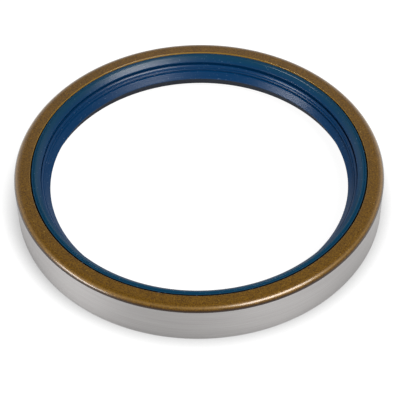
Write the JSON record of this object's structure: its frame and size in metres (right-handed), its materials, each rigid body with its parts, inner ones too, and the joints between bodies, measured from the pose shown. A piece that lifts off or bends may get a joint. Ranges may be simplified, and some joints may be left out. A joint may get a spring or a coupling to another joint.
{
  "type": "axle oil seal",
  "caption": "Rotary shaft seal for a heavy axle hub: flanged steel case, ground outside wall, blue rubber lip ring with dust ridge, and a garter spring.",
  "frame": {"origin": "centre of the ring at the open rim, which it stands on", "axes": "+Z along the seal's axis, from the open oil side up to the flanged air side"},
  "size_m": [0.17, 0.17, 0.0205],
  "materials": {
    "case_steel": "brown-gold bonding film on drawn sheet steel, with the outside wall ground bare",
    "lip_rubber": "satin moulded nitrile rubber, dark blue",
    "spring_steel": "drawn spring wire, close wound"
  },
  "bodies": {
    "root": {"steel_case": "case_steel", "rubber_lip": "lip_rubber", "garter_spring": "spring_steel"}
  },
  "joints": []
}
